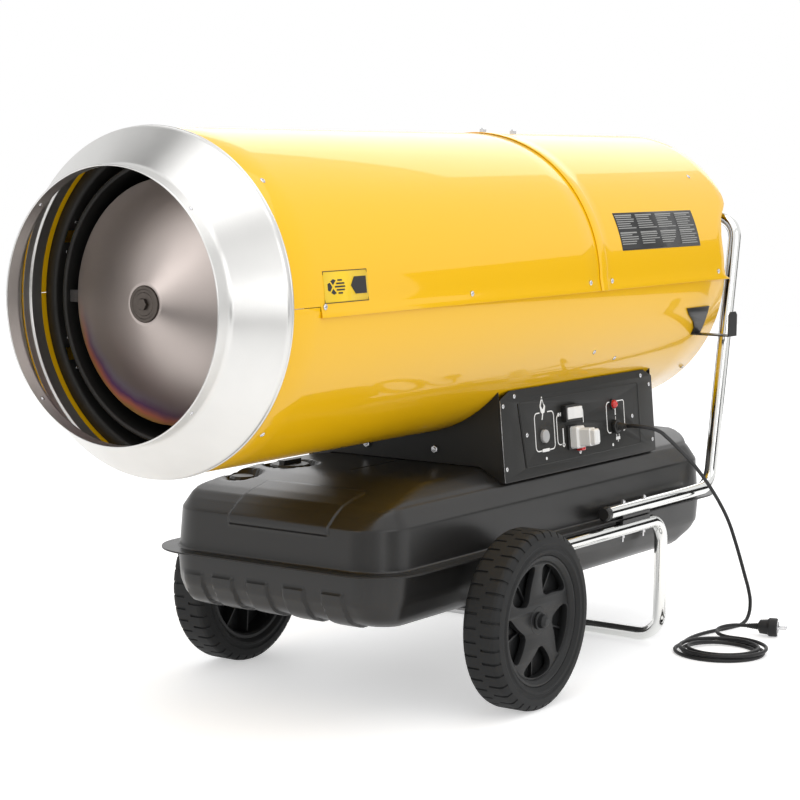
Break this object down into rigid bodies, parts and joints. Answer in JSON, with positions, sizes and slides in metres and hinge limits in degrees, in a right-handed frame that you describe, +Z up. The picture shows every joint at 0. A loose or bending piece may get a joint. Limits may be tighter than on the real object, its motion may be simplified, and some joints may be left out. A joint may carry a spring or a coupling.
{
  "type": "portable direct-fired space heater",
  "caption": "Wheeled direct-fired space heater: cylindrical casing with cone outlet, flame deflector, burner and fan, over a flat fuel tank with control box, handle, stand and mains lead.",
  "frame": {"origin": "on the ground, under the middle of the machine's own box, its loose mains lead left out", "axes": "+Z up, -X towards the hot air outlet, +X towards the handle, -Y towards the control panel"},
  "size_m": [1.6489, 0.8694, 1.0165],
  "materials": {
    "casing_yellow": "glossy yellow powder coat",
    "spun_aluminium": "spun, fine rings",
    "hot_steel": "brushed, heat tinted",
    "chamber_steel": "matt black heat-proof coat",
    "plain_steel": "zinc plated",
    "brass": "machined",
    "porcelain": "glazed insulator",
    "motor_grey": "grey enamel",
    "black_steel": "black enamel",
    "fan_aluminium": "cast",
    "box_black": "satin dark grey powder coat",
    "tank_black": "satin black",
    "black_plastic": "moulded",
    "grey_plastic": "moulded",
    "white_plastic": "moulded",
    "red_lens": "clear lens",
    "cord_rubber": "smooth",
    "tyre_rubber": "solid rubber",
    "wheel_plastic": "moulded",
    "zinc": "bright zinc plate",
    "chrome": "bright chrome plate"
  },
  "bodies": {
    "machine": {"front_upper_shell": "casing_yellow", "rear_upper_shell": "casing_yellow", "lower_shell": "casing_yellow", "outlet_cone": "spun_aluminium", "inner_shield": "chamber_steel", "combustion_chamber": "chamber_steel", "flame_deflector": "hot_steel", "deflector_bolt": "hot_steel", "deflector_strap_1": "chamber_steel", "deflector_strap_2": "chamber_steel", "deflector_strap_3": "chamber_steel", "burner_head": "plain_steel", "oil_nozzle": "brass", "ignition_electrodes": "porcelain", "fan_motor": "motor_grey", "motor_cradle": "black_steel", "fan_guard": "black_steel", "fuel_pump": "plain_steel", "fuel_line": "brass", "box_front_plate": "box_black", "control_panel": "box_black", "box_far_panel": "box_black", "box_rear_plate": "box_black", "ignition_transformer": "motor_grey", "switch_housing": "black_plastic", "thermostat_socket": "black_plastic", "indicator_lamp": "red_lens", "cable_gland": "black_plastic", "power_cord": "cord_rubber", "cord_coil": "cord_rubber", "power_plug": "cord_rubber", "cord_hook": "black_steel", "tank_upper": "tank_black", "tank_lower": "tank_black", "filler_neck": "plain_steel", "fuel_gauge": "black_plastic", "drain_plug": "plain_steel", "axle": "zinc", "hub_cap_left": "wheel_plastic", "hub_cap_right": "wheel_plastic", "stand_tube": "chrome", "handle_tube": "chrome", "handle_end_cap_left": "black_plastic", "handle_end_cap_right": "black_plastic", "handle_saddle_left": "black_steel", "handle_saddle_right": "black_steel", "stand_saddle_left": "black_steel", "stand_saddle_right": "black_steel", "front_saddle_left": "black_steel", "front_saddle_right": "black_steel"},
    "fan_rotor": {"motor_shaft": "plain_steel", "fan": "fan_aluminium"},
    "wheel_left": {"wheel_rim_left": "wheel_plastic", "tyre_left": "tyre_rubber"},
    "wheel_right": {"wheel_rim_right": "wheel_plastic", "tyre_right": "tyre_rubber"},
    "reset": {"reset_button": "grey_plastic"},
    "rocker": {"switch_rocker": "white_plastic"},
    "cap": {"filler_cap": "black_plastic"},
    "plug": {"thermostat_plug": "white_plastic"}
  },
  "joints": [
    {"name": "fan_spin", "type": "hinge", "parent": "machine", "child": "fan_rotor", "pos_m": [0.6075, 0, 0.7346], "axis": [1, 0, 0], "continuous": true},
    {"name": "wheel_spin_left", "type": "hinge", "parent": "machine", "child": "wheel_left", "pos_m": [-0.0999, -0.32435, 0.16], "axis": [0, 1, 0], "continuous": true},
    {"name": "wheel_spin_right", "type": "hinge", "parent": "machine", "child": "wheel_right", "pos_m": [-0.0999, 0.32435, 0.16], "axis": [0, 1, 0], "continuous": true},
    {"name": "reset_press", "type": "slide", "parent": "machine", "child": "reset", "axis": [0, 0.9956, -0.0934], "range_m": [0, 0.003], "stiffness_N_per_m": 400},
    {"name": "switch_rock", "type": "hinge", "parent": "machine", "child": "rocker", "pos_m": [0.2275, -0.22256, 0.48773], "axis": [0, 0.0934, 0.9956], "range_deg": [0, 16]},
    {"name": "cap_lift", "type": "slide", "parent": "machine", "child": "cap", "axis": [0, 0, 1], "range_m": [0, 0.05]},
    {"name": "plug_pull", "type": "slide", "parent": "machine", "child": "plug", "axis": [0, -0.9956, 0.0934], "range_m": [0, 0.03]}
  ]
}
